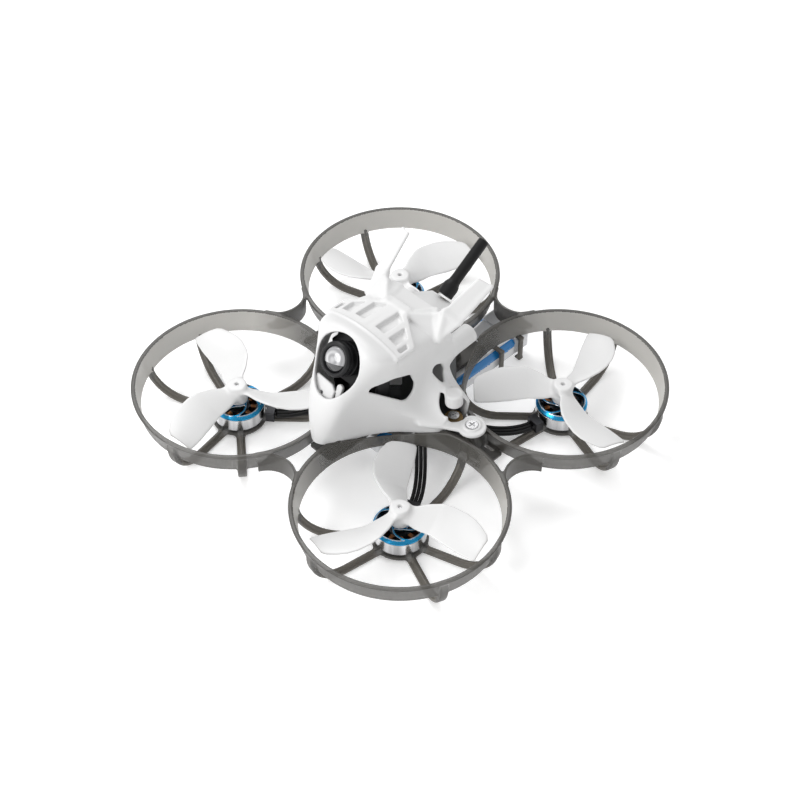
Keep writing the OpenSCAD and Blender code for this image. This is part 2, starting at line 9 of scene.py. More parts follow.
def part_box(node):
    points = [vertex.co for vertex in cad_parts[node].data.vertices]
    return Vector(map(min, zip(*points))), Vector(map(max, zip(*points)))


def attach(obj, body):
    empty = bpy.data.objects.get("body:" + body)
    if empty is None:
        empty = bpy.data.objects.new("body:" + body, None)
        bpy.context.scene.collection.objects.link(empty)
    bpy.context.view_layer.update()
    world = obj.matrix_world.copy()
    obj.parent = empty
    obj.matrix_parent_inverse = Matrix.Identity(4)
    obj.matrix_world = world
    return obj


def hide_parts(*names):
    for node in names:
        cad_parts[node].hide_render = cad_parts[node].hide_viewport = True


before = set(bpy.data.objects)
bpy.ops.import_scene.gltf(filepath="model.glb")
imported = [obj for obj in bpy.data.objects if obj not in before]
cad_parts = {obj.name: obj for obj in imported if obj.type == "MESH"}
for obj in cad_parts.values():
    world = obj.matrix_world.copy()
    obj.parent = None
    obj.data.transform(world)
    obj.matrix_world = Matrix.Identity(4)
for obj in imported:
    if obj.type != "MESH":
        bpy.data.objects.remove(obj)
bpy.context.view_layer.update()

# Lengths below are in millimetres, in the part's own frame, unless a name says otherwise.
MM = 0.001
CORNERS = {"front_left": (1, -1), "front_right": (-1, -1), "rear_left": (1, 1), "rear_right": (-1, 1)}


def node_box(node):
    """A CAD node's lowest and highest corners in millimetres."""
    low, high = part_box(node)
    return np.array(low) / MM, np.array(high) / MM


ring_low, ring_high = node_box("flux_ring_front_left")
M = float(ring_low[0] + ring_high[0]) / 2   # motor shaft's distance from each centre plane
BELL_R = float(ring_high[0] - ring_low[0]) / 2
RIM_Z = float(node_box("duct_front_left")[1][2])


# ---------- camera, light and floor ----------

ELEVATION = math.radians(45.566)
DISTANCE = 497.4
DROP = 4.83                                 # the view's centre passes this far below the rims' centre
back = Vector((math.cos(ELEVATION), -math.cos(ELEVATION), math.sqrt(2) * math.sin(ELEVATION))) / math.sqrt(2)
right = Vector((1, 1, 0)).normalized()
up = back.cross(right)
eye = Vector((0, 0, RIM_Z)) - DROP * up + DISTANCE * back
camera_data = bpy.data.cameras.new("camera")
camera_data.lens = 90.5
camera_data.sensor_width = 36
camera_data.clip_start = 0.01
camera = bpy.data.objects.new("camera", camera_data)
camera.matrix_world = Matrix.Translation(eye * MM) @ Matrix((right, up, back)).transposed().to_4x4()
bpy.context.scene.collection.objects.link(camera)
bpy.context.scene.camera = camera


def area_light(name, place, aim, size, watts):
    data = bpy.data.lights.new(name, "AREA")
    data.shape = "DISK"
    data.size = size
    data.energy = watts
    lamp = bpy.data.objects.new(name, data)
    lamp.location = place
    lamp.rotation_euler = (Vector(aim) - Vector(place)).to_track_quat("-Z", "Y").to_euler()
    bpy.context.scene.collection.objects.link(lamp)


area_light("key_light", (-0.40, 0.16, 0.62), (0, 0, 0), 0.40, 2.0)
area_light("fill_light", (-0.20, -0.78, 0.50), (0, 0, 0), 0.6, 4.6)
world = bpy.data.worlds.new("studio")
world.use_nodes = True
world.node_tree.nodes["Background"].inputs["Color"].default_value = (1, 1, 1, 1)
world.node_tree.nodes["Background"].inputs["Strength"].default_value = 0.70
bpy.context.scene.world = world
bpy.context.scene.view_settings.view_transform = "Standard"


# ---------- materials ----------

def add_node(tree, kind, **inputs):
    """A shader node. Input names are written with _ for a space; a node output links, a value sets."""
    n = tree.nodes.new(kind)
    for name, value in inputs.items():
        socket = n.inputs[name.replace("_", " ")]
        if isinstance(value, bpy.types.NodeSocket):
            tree.links.new(value, socket)
        else:
            socket.default_value = value
    return n


def finish_of(name, colour, rough, metal=0.0, grain=900.0, bump=0.04, tint=0.06, alpha=1.0, streak=None,
              **more):
    """A material with fine grain: its colour, roughness and height vary over the surface."""
    material = bpy.data.materials.new(name)
    material.use_nodes = True
    tree = material.node_tree
    shader = tree.nodes["Principled BSDF"]
    place = tree.nodes.new("ShaderNodeTexCoord").outputs["Object"]
    if streak:
        place = add_node(tree, "ShaderNodeMapping", Vector=place, Scale=streak).outputs["Vector"]
    fine = add_node(tree, "ShaderNodeTexNoise", Vector=place, Scale=grain, Detail=6.0, Roughness=0.6)
    broad = add_node(tree, "ShaderNodeTexNoise", Vector=place, Scale=grain / 14, Detail=3.0)
    ramp = add_node(tree, "ShaderNodeValToRGB", Fac=broad.outputs["Fac"])
    ramp.color_ramp.elements[0].position = 0.3
    ramp.color_ramp.elements[1].position = 0.7
    ramp.color_ramp.elements[0].color = tuple(c * (1 - tint) for c in colour[:3]) + (1,)
    ramp.color_ramp.elements[1].color = tuple(min(1, c * (1 + tint)) for c in colour[:3]) + (1,)
    tree.links.new(ramp.outputs["Color"], shader.inputs["Base Color"])
    spread = add_node(tree, "ShaderNodeMapRange", Value=fine.outputs["Fac"],
                      To_Min=max(0.03, rough * 0.8), To_Max=min(1, rough * 1.2))
    tree.links.new(spread.outputs["Result"], shader.inputs["Roughness"])
    height = add_node(tree, "ShaderNodeBump", Height=fine.outputs["Fac"], Strength=bump, Distance=0.0002)
    tree.links.new(height.outputs["Normal"], shader.inputs["Normal"])
    shader.inputs["Metallic"].default_value = metal
    shader.inputs["Alpha"].default_value = alpha
    for socket, value in more.items():
        shader.inputs[socket.replace("_", " ")].default_value = value
    return material


WHITE = finish_of("canopy_plastic", (0.70, 0.70, 0.70), 0.42, grain=1400, bump=0.05, tint=0.012)
SMOKE = finish_of("smoke_outer", (0.060, 0.056, 0.050), 0.38, grain=700, bump=0.03, tint=0.08, alpha=0.80)
SPOKE = finish_of("smoke_spokes", (0.105, 0.095, 0.080), 0.40, grain=700, bump=0.02, tint=0.05, alpha=0.90)
# A lighter copy of the smoky plastic for the ducts' inner walls: painted light.
SMOKE_INNER_PAINTED_LIGHT_AND_SHADE = finish_of("smoke_inner_painted_light_and_shade", (0.62, 0.60, 0.56), 0.38, grain=700, bump=0.03, tint=0.04, alpha=0.62)


def object_place(tree):
    """The point's own place on the object, in metres."""
    return tree.nodes.new("ShaderNodeTexCoord").outputs["Object"]


def paint_shade_inwards(material, dark, near, far):
    """Painted shade: the duct walls' colour darkens towards the middle of the frame, where they have no light
    behind them.
    """
    tree = material.node_tree
    shader = tree.nodes["Principled BSDF"]
    level = add_node(tree, "ShaderNodeVectorMath", Vector=object_place(tree))
    level.operation = "MULTIPLY"
    level.inputs[1].default_value = (1, 1, 0)
    reach = tree.nodes.new("ShaderNodeVectorMath")
    reach.operation = "LENGTH"
    tree.links.new(level.outputs["Vector"], reach.inputs[0])
    fade = add_node(tree, "ShaderNodeMapRange", Value=reach.outputs["Value"], From_Min=near, From_Max=far)
    blend = add_node(tree, "ShaderNodeMix", Factor=fade.outputs["Result"])
    blend.data_type = "RGBA"
    blend.inputs[6].default_value = dark
    tree.links.new(shader.inputs["Base Color"].links[0].from_socket, blend.inputs[7])
    tree.links.new(blend.outputs[2], shader.inputs["Base Color"])


# Painted shade on the ducts' inner walls near the frame's middle.
paint_shade_inwards(SMOKE_INNER_PAINTED_LIGHT_AND_SHADE, (0.10, 0.095, 0.085, 1), 0.030, 0.045)
PROP = finish_of("prop_plastic", (0.72, 0.72, 0.72), 0.35, grain=1100, bump=0.02, tint=0.01)
BLUE = finish_of("blue_anodised", (0.025, 0.27, 0.52), 0.26, 1.0, grain=2600, bump=0.06, tint=0.10)
SILVER = finish_of("turned_steel", (0.56, 0.56, 0.57), 0.20, 1.0, grain=5000, bump=0.04, tint=0.42,
                   streak=(1, 1, 0.05))
STEEL = finish_of("bright_steel", (0.66, 0.66, 0.67), 0.25, 1.0, grain=2000, bump=0.06, tint=0.08)
DARK_METAL = finish_of("black_anodised", (0.03, 0.03, 0.033), 0.4, 0.7, grain=2400, bump=0.06, tint=0.15)
COPPER = finish_of("enamelled_copper", (0.40, 0.17, 0.07), 0.3, 1.0, grain=1800, bump=0.2, tint=0.2)
LAMINATION = finish_of("stator_steel", (0.06, 0.065, 0.07), 0.45, 0.8, grain=1500, bump=0.1, tint=0.2)
RUBBER = finish_of("black_silicone", (0.006, 0.006, 0.0065), 0.5, grain=1600, bump=0.08, tint=0.2,
                   Specular_IOR_Level=0.25)
BLACK = finish_of("black_plastic", (0.009, 0.009, 0.010), 0.42, grain=1500, bump=0.07, tint=0.2,
                  Specular_IOR_Level=0.3)
BOARD = finish_of("solder_mask", (0.012, 0.014, 0.015), 0.3, grain=1200, bump=0.05, tint=0.3)
BRASS = finish_of("brass", (0.46, 0.30, 0.08), 0.3, 1.0, grain=1800, bump=0.08, tint=0.12)
GROMMET = finish_of("brown_rubber", (0.19, 0.115, 0.03), 0.45, grain=1500, bump=0.1, tint=0.2)
WRAP_BLUE = finish_of("battery_film_blue", (0.015, 0.20, 0.52), 0.22, grain=500, bump=0.05, tint=0.08,
                      Coat_Weight=0.4)
WRAP_WHITE = finish_of("battery_film_white", (0.80, 0.81, 0.83), 0.25, grain=500, bump=0.05, tint=0.02,
                       Coat_Weight=0.4)


def paint(material, *nodes):
    """A CAD node keeps its shape and gets this material."""
    for name in nodes:
        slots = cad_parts[name].data.materials
        slots.clear()
        slots.append(material)


# ---------- fields: signed distances on a grid, turned into smooth closed meshes ----------

def smin(a, b, k):
    h = np.maximum(k - np.abs(a - b), 0) / k
    return np.minimum(a, b) - h * h * k / 4


def smax(a, b, k):
    return -smin(-a, -b, k)


def rounded(u, v, r):
    """Corner of two fields whose edge is rounded by r."""
    u, v = u + r, v + r
    return np.hypot(np.maximum(u, 0), np.maximum(v, 0)) + np.minimum(np.maximum(u, v), 0) - r


def bar(u, v, half_u, half_v, r):
    return rounded(np.abs(u) - half_u, np.abs(v) - half_v, r)


def block(u, v, w, half, r):
    return rounded(bar(u, v, half[0], half[1], r), np.abs(w) - half[2], r)


def segment(u, v, a, b, ra, rb=None):
    """Distance to a line from a to b, ra thick at a and rb at b."""
    rb = ra if rb is None else rb
    du, dv = b[0] - a[0], b[1] - a[1]
    t = np.clip(((u - a[0]) * du + (v - a[1]) * dv) / (du * du + dv * dv), 0, 1)
    return np.hypot(u - a[0] - t * du, v - a[1] - t * dv) - ra - t * (rb - ra)


def polygon(u, v, points, r=0.0):
    """Signed distance to a polygon, grown by r with round corners."""
    d = None
    inside = np.zeros(np.broadcast(u, v).shape, bool)
    for (ax, ay), (bx, by) in zip(points, points[1:] + points[:1]):
        near = segment(u, v, (ax, ay), (bx, by), 0.0)
        d = near if d is None else np.minimum(d, near)
        if ay != by:
            inside ^= ((v >= ay) != (v >= by)) & (u < (bx - ax) * (v - ay) / (by - ay) + ax)
    return np.where(inside, -d, d) - r


def plate(x, y, z, points, half, r=0.0):
    """A flat sheet 2 x half thick through three or more points, grown by r in its plane."""
    p = [np.array(q, float) for q in points]
    e1 = (p[1] - p[0]) / np.linalg.norm(p[1] - p[0])
    n = np.cross(e1, p[2] - p[0])
    n /= np.linalg.norm(n)
    e2 = np.cross(n, e1)
    at = lambda axis: (x - p[0][0]) * axis[0] + (y - p[0][1]) * axis[1] + (z - p[0][2]) * axis[2]
    flat = [(float((q - p[0]) @ e1), float((q - p[0]) @ e2)) for q in p]
    return rounded(polygon(at(e1), at(e2), flat, r), np.abs(at(n)) - half, half * 0.8)


def grid(low, high, step):
    axes = [np.arange(a + step / 2, b, step, dtype=np.float32) for a, b in zip(low, high)]
    return np.meshgrid(*axes, indexing="ij", sparse=True)


def net(field, low, step):
    """The surface where a field is zero, as one vertex in each cell it crosses and one quad for each edge."""
    inside = field < 0
    cells = np.zeros(tuple(n - 1 for n in field.shape), np.uint8)
    for i in (0, 1):
        for j in (0, 1):
            for k in (0, 1):
                cells += inside[i:i - 1 or None, j:j - 1 or None, k:k - 1 or None]
    live = np.argwhere((cells > 0) & (cells < 8))
    index = np.full(cells.shape, -1, np.int32)
    index[tuple(live.T)] = np.arange(len(live), dtype=np.int32)
    total = np.zeros((len(live), 3))
    count = np.zeros(len(live))
    for axis in range(3):
        step_to = np.eye(3, dtype=int)[axis]
        others = [a for a in range(3) if a != axis]
        for i in (0, 1):
            for j in (0, 1):
                start = live.copy()
                start[:, others[0]] += i
                start[:, others[1]] += j
                fa = field[tuple(start.T)]
                fb = field[tuple((start + step_to).T)]
                hit = (fa < 0) != (fb < 0)
                t = fa[hit] / (fa[hit] - fb[hit])
                total[hit] += start[hit] + t[:, None] * step_to
                count[hit] += 1
    verts = (total / count[:, None] + 0.5) * step + np.array(low)
    quads = []
    for axis in range(3):
        u, v = (axis + 1) % 3, (axis + 2) % 3
        cut = [slice(None)] * 3
        cut[axis] = slice(0, -1)
        ahead = [slice(None)] * 3
        ahead[axis] = slice(1, None)
        change = inside[tuple(cut)] != inside[tuple(ahead)]
        for a in (u, v):
            edge = [slice(None)] * 3
            edge[a] = 0
            change[tuple(edge)] = False
            edge[a] = -1
            change[tuple(edge)] = False
        at = np.argwhere(change)
        flip = inside[tuple(at.T)]
        du, dv = np.eye(3, dtype=int)[u], np.eye(3, dtype=int)[v]
        ring = [index[tuple((at - s * du - t * dv).T)] for s, t in ((1, 1), (0, 1), (0, 0), (1, 0))]
        quad = np.stack(ring, 1)
        quad[~flip] = quad[~flip][:, ::-1]
        quads.append(quad)
    return verts, np.concatenate(quads)


def mirrored(field, low, axis):
    """A field on the positive side of an axis, doubled to both sides, and its new lowest corner."""
    low = list(low)
    low[axis] = -field.shape[axis] * STEP
    return np.concatenate((np.flip(field, axis), field), axis), low


def mesh_object(name, verts, faces, materials, smooth=True):
    """A new object from millimetre points and quads or triangles of one size."""
    faces = np.asarray(faces)
    data = bpy.data.meshes.new(name)
    data.vertices.add(len(verts))
    data.vertices.foreach_set("co", (np.asarray(verts) * MM).astype(np.float32).ravel())
    data.loops.add(faces.size)
    data.loops.foreach_set("vertex_index", faces.astype(np.int32).ravel())
    data.polygons.add(len(faces))
    data.polygons.foreach_set("loop_start", np.arange(0, faces.size, faces.shape[1], dtype=np.int32))
    data.update(calc_edges=True)
    data.validate()
    data.shade_smooth() if smooth else data.shade_flat()
    for material in materials:
        data.materials.append(material)
    obj = bpy.data.objects.new(name, data)
    bpy.context.scene.collection.objects.link(obj)
    return obj


def face_places(obj):
    """Each face's centre in millimetres, and its normal."""
    polygons = obj.data.polygons
    centres = np.empty(len(polygons) * 3)
    normals = np.empty(len(polygons) * 3)
    polygons.foreach_get("center", centres)
    polygons.foreach_get("normal", normals)
    return centres.reshape(-1, 3) / MM, normals.reshape(-1, 3)


def colour_faces(obj, slots):
    """Gives each face the material at its slot's number."""
    obj.data.polygons.foreach_set("material_index", np.asarray(slots).astype(np.int32))


def decimated(obj, ratio):
    """Collapses an object's mesh to a share of its faces."""
    modifier = obj.modifiers.new("fewer_faces", "DECIMATE")
    modifier.ratio = ratio
    graph = bpy.context.evaluated_depsgraph_get()
    fewer = bpy.data.meshes.new_from_object(obj.evaluated_get(graph))
    obj.modifiers.clear()
    old = obj.data
    obj.data = fewer
    bpy.data.meshes.remove(old)
    fewer.shade_smooth()
    return obj


STEP = 0.25


# ---------- the frame: four ducts, spokes, bridges and the centre plate in one moulding ----------

SPOKES = (-140.5, -99.5, -22, 18, 97.5, 136.5)
SPOKE_X = 25.84
ARC_R = 10.4
ARC_X = SPOKE_X - ARC_R
LOW_Z = RIM_Z - 5.95


def frame_field(x, y, z):
    """The front left corner. x is 0 or more and y 0 or less; the other corners mirror it."""
    u, v = x - M, y + M
    r = np.hypot(u, v)
    ring = smin(segment(r, z, (24.28, LOW_Z + 0.3), (25.3, RIM_Z - 0.6), 0.3),
                bar(r - 25.57, z - RIM_Z + 0.4, 0.57, 0.4, 0.22), 0.5)
    a = math.radians(142)
    along, across = u * math.cos(a) + v * math.sin(a), v * math.cos(a) - u * math.sin(a)
    dip = 33.6 - np.hypot(across, z - (RIM_Z - 3.1 + 33.6))
    notched = along > 15
    ring = np.where(notched, smax(ring, dip, 0.3), ring)
    spokes = None
    for degrees in SPOKES:
        a = math.radians(degrees)
        along, across = u * math.cos(a) + v * math.sin(a), v * math.cos(a) - u * math.sin(a)
        n = ARC_R - 0.5 - np.hypot(np.maximum(along - ARC_X, 0), np.maximum(ARC_R - z, 0))
        one = smin(bar(n, across, 0.5, 1.1, 0.3), bar(n - 0.8, across, 0.45, 0.38, 0.25), 0.4)
        one = np.maximum(np.maximum(one, z - RIM_Z + 0.5), 4 - along)
        one = np.where((along > 20) & (z > 9), np.maximum(one, 24.2 + (z - LOW_Z) / 5.95 - r), one)
        spokes = one if spokes is None else smin(spokes, one, 1.2)
    pad = rounded(r - 6.9, np.abs(z - 1.1) - 0.4, 0.2)
    spokes = smin(spokes, pad, 0.8)
    spokes = smax(spokes, 1.2 - r, 0.2)
    for degrees in (30, 150, 270):
        a = math.radians(degrees)
        spokes = smax(spokes, 0.75 - np.hypot(u - 3.3 * math.cos(a), v - 3.3 * math.sin(a)), 0.2)
    spokes = np.where(notched, smax(spokes, dip, 0.3), spokes)
    solid = smin(ring, spokes, 0.5)
    for p, q in ((x, -y), (-y, x)):
        wall = np.abs(np.hypot(p - 45.03, q) - 7.15) - 0.32
        wall = rounded(wall, np.abs(z - (LOW_Z + RIM_Z) / 2) - 2.9, 0.25)
        wall = np.maximum(wall, (q - 1.7434 * (45.03 - p)) * 0.4975 - 0.4)
        solid = smin(solid, wall, 0.9)
    disc = np.minimum(np.minimum(bar(x, y, 31.5, 4.1, 0.8), bar(x, y, 4, 27.5, 0.8)), np.hypot(x, y) - 12.9)
    disc = smax(disc, 24.9 - r, 0.8)
    disc = smax(disc, -bar(x, np.abs(y) - 5, 4.8, 3.5, 1), 0.5)
    for place in ((28.0, 2.7), (23.0, -9)):
        disc = smax(disc, -bar(x - place[0], -y - place[1], 1.5, 0.55, 0.5), 0.2)
    solid = smin(solid, rounded(disc, np.abs(z - LOW_Z - 0.5) - 0.5, 0.25), 0.5)
    for p, q in ((x - 18.38, y), (x, y + 18.38)):
        solid = smin(solid, rounded(np.hypot(p, q) - 2.2, np.abs(z - 9.6) - 2.0, 0.25), 0.6)
        solid = smax(solid, np.where(z > 6, 0.65 - np.hypot(p, q), -9), 0.15)
    boss = np.hypot(x - 24.5, y)
    solid = smin(solid, rounded(boss - 2.4, np.abs(z - 11) - 3.45, 0.25), 0.6)
    solid = smax(solid, np.where(z > 6, 0.65 - boss, -9), 0.15)
    return solid


def claw_field(x, y, z, place, wall_x):
    """A claw that holds the battery: an arm from the duct wall, a leg and a toe."""
    q = y - place
    side = 6.75
    outer = side + 0.8
    arm = block(x - (wall_x + outer) / 2, q, z - LOW_Z - 0.3, (abs(outer - wall_x) / 2, 0.7, 0.3), 0.15)
    leg = block(x - side - 0.4, q, z - 4.35, (0.4, 0.7, 3.75), 0.2)
    toe = block(x - side + 0.1, q, z - 0.95, (0.9, 0.7, 0.33), 0.2)
    return smin(smin(arm, leg, 0.4), toe, 0.4)


low = (0.0, 0.0, -0.6)
xs, ys, zs = grid(low, (55.2, 55.2, 15.2), STEP)
field = frame_field(xs, -ys, zs)
field, low = mirrored(field, low, 1)
xs, ys, zs = grid(low, (low[0] + field.shape[0] * STEP, -low[1], 15.2), STEP)
for claw in (1.0, 8.2):
    field = smin(field, claw_field(xs, ys, zs, M + claw, M - math.sqrt(24.3 ** 2 - claw ** 2)), 0.3)
field = smin(field, claw_field(xs, ys, zs, -9.0, 7.0), 0.3)
field, low = mirrored(field, low, 0)
verts, faces = net(field, low, STEP)
moulding = mesh_object("frame_moulding", verts, faces, [SMOKE, SMOKE_INNER_PAINTED_LIGHT_AND_SHADE, SPOKE])
decimated(moulding, 0.45)
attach(moulding, "chassis")
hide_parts(*["duct_" + c for c in CORNERS], "frame_centre", "frame_bridges")

# Painted light: the inside of each duct gets a lighter copy of the smoky plastic, standing in for the light
# that falls on and shows through those walls.
centres, normals = face_places(moulding)
u, v = np.abs(centres[:, 0]) - M, np.abs(centres[:, 1]) - M
r = np.hypot(u, v)
height = centres[:, 2] - LOW_Z
inward = -(u * normals[:, 0] * np.sign(centres[:, 0]) + v * normals[:, 1] * np.sign(centres[:, 1])) / r
# Inner-wall faces, which get the painted-light copy of the smoky plastic.
inner = (inward > 0.35) & (np.abs(r - 24.0 - height / 5.95) < 0.22) & (height > 0.15) & (height < 5.8)
spoke = (r < 23.4) & (centres[:, 2] < 9) & (r > 7.4)
colour_faces(moulding, np.where(inner, 1, np.where(spoke, 2, 0)))


# ---------- the canopy ----------

TILT = math.radians(32)
FACE = (0, -22.0, 33.7)


def canopy_field(x, y, z):
    """The right half seen from the front; x is 0 or more."""
    flare = 9.4 * np.exp(-np.maximum(z - 15.2 - 5.0 * np.exp(-((y - 0.5) / 3.6) ** 2), 0) / 2.6)
    side = x - (9.6 + 0.089 * (z - 11) - 0.2 * np.maximum(-13 - y, 0) + flare)
    body = side
    for sign in (-1, 1):
        duct = 25.5 - 0.163 * (z - 11) - np.hypot(x - M, y - sign * M)
        body = smax(body, duct, 2.5)
    face = -(y - FACE[1]) * math.cos(TILT) + (z - FACE[2]) * math.sin(TILT)
    body = smax(body, face, 4.0)
    body = smax(body, -29.3 - y, 5.0)
    cage = 40.2 - 0.052 * (y + 12.9) - x * x / 62
    top = np.where(y < -12.5, cage + 0.2 * np.maximum(-12.9 - y, 0),
                   cage - 1.15 * np.clip((y + 12.7) / 0.6, 0, 1))
    top = np.minimum(top, 38.0 - 0.3 * (y + 1.4) - x * x / 62)
    top = np.minimum(top, 35.4 - 0.58 * (y - 5.4) - x * x / 62)
    body = smax(body, z - top, 2.6)
    body = smax(body, y - 6.4 - 0.10 * np.maximum(z - 22, 0), 1.5)
    gx, gy, gz = np.gradient(body, STEP)
    body = body / np.maximum(np.sqrt(gx * gx + gy * gy + gz * gz), 0.5)
    hollow = body + 0.9
    tube_y = (y - 4) * math.cos(0.06) + (z - 25.8) * math.sin(0.06)
    tube_z = (z - 25.8) * math.cos(0.06) - (y - 4) * math.sin(0.06)
    tube = np.hypot(x - 9.4, tube_z)
    body = smin(body, rounded(tube - 2.5, np.abs(tube_y - 4.2) - 6.6, 0.3), 2.4)
    floor = np.where(y < -24, 12.9, 10.6)
    shell = smax(np.maximum(body, floor - z), -hollow, 0.3)
    ear = np.minimum(polygon(x, y, [(15, -7.5), (18.5, -4.6), (24.5, -1.2), (21.5, -0.6), (17, -2.6)], 1.2),
                     np.hypot(x - 24.5, y) - 3.5)
    ear = rounded(ear, np.abs(z - 15.0) - 0.5, 0.3)
    shell = smin(shell, ear, 1.2)
    post = np.maximum(np.hypot(x - 18.0, y - 0.2) - 3.4, z - 20.8)
    shell = smax(shell, -post, 0.4)
    shell = smin(shell, rounded(np.hypot(x - 18.2, y - 0.2) - 2.2, np.abs(z - 20.3) - 1.8, 0.3), 0.8)
    collar = rounded(np.abs(np.hypot(x - 24.5, y) - 1.95) - 0.3, np.abs(z - 15.6) - 0.4, 0.25)
    shell = smin(shell, collar, 0.3)
    shell = smax(shell, -np.maximum(np.hypot(x - 24.5, y) - 0.75, z - 15.2), 0.1)
    # openings: the camera window, the side window, the round hole and the tubes' bores
    depth = -(y - FACE[1]) * math.cos(TILT) + (z - FACE[2]) * math.sin(TILT)
    rise = (y - FACE[1]) * math.sin(TILT) + (z - FACE[2]) * math.cos(TILT)
    egg = (np.hypot(x / (6.5 * (1 + 0.2 * np.clip(rise / 8.25, -1, 1))), rise / 8.25) - 1) * 7
    shell = smax(shell, -np.maximum(egg, -6 - depth), 0.5)
    window = polygon(y, z, [(-17.2, 28.6), (-9.6, 27.0), (-8.6, 25.4), (-9.0, 23.7)], 1.1)
    window = np.minimum(window, segment(y, z, (-17.0, 28.6), (-13.0, 28.5), 1.2, 2.3))
    window = np.minimum(window, segment(y, z, (-13.0, 28.5), (-9.5, 26.7), 2.3, 2.5))
    window = np.minimum(window, segment(y, z, (-9.5, 26.7), (-8.8, 24.1), 2.5, 2.8))
    window = np.minimum(window, segment(y, z, (-17.0, 28.6), (-8.8, 24.1), 1.2, 2.8))
    shell = smax(shell, -np.maximum(window, 6 - x), 0.6)
    shell = smax(shell, -np.maximum(segment(y, z, (1.0, 25.0), (1.5, 23.7), 1.45), 6 - x), 1.0)
    bore = np.maximum(tube - 1.8, 1 - tube_y)
    shell = smax(shell, -bore, 0.3)
    # roof cage
    s = y + 12.9
    h = z - cage
    roof = polygon(x, s, [(-14, 0.7), (11.2, 0.7), (11.2, 5.6), (2.6, 11.4), (2.6, 13), (-14, 13)], 0.7)
    for outline in ([(1.9, 2.9), (4.8, 2.9), (4.8, 9.0), (1.9, 10.6)],
                    [(6.5, 2.6), (9.0, 2.6), (9.0, 6.2), (6.5, 7.9)],
                    [(10.1, 1.9), (11.1, 1.9), (11.1, 4.4), (10.1, 5.0)]):
        roof = smax(roof, -polygon(x, s, outline), 0.3)
    tail = rounded(roof, np.abs(h + 0.45) - 0.5, 0.2)
    neck, corner, notch, root = (3.3, -1.4, 38.9), (11.9, 1.0, 34.8), (6.2, 6.2, 37.0), (8.4, 3.9, 38.4)
    tip_in, tip_out, skirt = (11.8, 14.6, 45.3), (14.8, 15.9, 44.1), (12.3, 11.8, 33.3)
    bend_in, bend_out = (9.75, 5.1, 39.9), (13.7, 6.2, 37.9)
    fins = plate(x, y, z, [(-3.3, neck[1], neck[2]), neck, notch, (-6.2, notch[1], notch[2])], 0.45, 0.3)
    for outline in ([neck, corner, root], [neck, root, notch], [notch, corner, root], [bend_in, corner, root],
                    [bend_in, bend_out, corner], [tip_in, tip_out, bend_out, bend_in]):
        fins = smin(fins, plate(x, y, z, outline, 0.42, 0.3), 1.2)
    fins = smin(fins, plate(x, y, z, [corner, bend_out, tip_out, skirt], 0.4, 0.3), 0.8)
    ramp = [(-5, 4.7, 36.0), (5, 4.7, 36.0), (4, 15.2, 30.7), (-4, 15.2, 30.7)]
    fins = smin(fins, plate(x, y, z, ramp, 0.45, 0.3), 0.6)
    tail = smin(tail, fins, 0.9)
    return smin(shell, tail, 0.8)


low = (0.0, -31.0, 9.5)
xs, ys, zs = grid(low, (29.2, 19.0, 47.2), STEP)
field = canopy_field(*np.broadcast_arrays(xs, ys, zs))
field, low = mirrored(field, low, 0)
verts, faces = net(field, low, STEP)
canopy = mesh_object("canopy", verts, faces, [WHITE])
decimated(canopy, 0.5)
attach(canopy, "chassis")
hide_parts("canopy_shell", "canopy_tail")

# ---------- turned pieces, tubes and other small parts ----------

def lathe(profile, sides=48, corner=0.06):
    """Points and quads of a solid of revolution about Z. The corners of its (r, z) profile are cut back."""
    soft = []
    count = len(profile)
    for i, (r, z) in enumerate(profile):
        for nr, nz in (profile[i - 1], profile[(i + 1) % count]):
            if r < 1e-6:
                soft.append((r, z))
                continue
            gap = math.hypot(nr - r, nz - z)
            t = min(corner / gap, 0.3) if gap else 0
            soft.append((r + (nr - r) * t, z + (nz - z) * t))
    rows = [q for i, q in enumerate(soft) if q != soft[i - 1]]
    verts = []
    for r, z in rows:
        for k in range(sides):
            a = 2 * math.pi * k / sides
            verts.append((max(r, 0.004) * math.cos(a), max(r, 0.004) * math.sin(a), z))
    quads = []
    total = len(rows)
    for i in range(total):
        j = (i + 1) % total
        if rows[i][0] < 1e-6 and rows[j][0] < 1e-6:
            continue
        for k in range(sides):
            l = (k + 1) % sides
            quads.append((i * sides + k, i * sides + l, j * sides + l, j * sides + k))
    return np.array(verts), np.array(quads)


def tube_mesh(points, radius, across, sides=12, flat=1.0, closed=False):
    """Points and quads of a tube along a path; its ends are closed by small rings."""
    p = np.array(points, float)
    count = len(p)
    along = np.roll(p, -1, 0) - np.roll(p, 1, 0)
    if not closed:
        along[0] = p[1] - p[0]
        along[-1] = p[-1] - p[-2]
    along /= np.linalg.norm(along, axis=1)[:, None]
    u = np.cross(along, np.array(across, float))
    u /= np.linalg.norm(u, axis=1)[:, None]
    v = np.cross(along, u)
    a = np.linspace(0, 2 * math.pi, sides, endpoint=False)
    rings = [(i, 1.0) for i in range(count)]
    if not closed:
        rings = [(0, 0.02)] + rings + [(count - 1, 0.02)]
    verts = []
    for i, k in rings:
        verts.append(p[i] + k * radius * (np.cos(a)[:, None] * u[i] * flat + np.sin(a)[:, None] * v[i]))
    total = len(rings)
    quads = []
    for i in range(total if closed else total - 1):
        j = (i + 1) % total
        for k in range(sides):
            l = (k + 1) % sides
            quads.append((i * sides + k, i * sides + l, j * sides + l, j * sides + k))
    return np.concatenate(verts), np.array(quads)


def merged(parts):
    """Several (points, quads) pairs as one."""
    verts, quads, start = [], [], 0
    for v, q in parts:
        verts.append(np.asarray(v, float))
        quads.append(np.asarray(q) + start)
        start += len(v)
    return np.concatenate(verts), np.concatenate(quads)


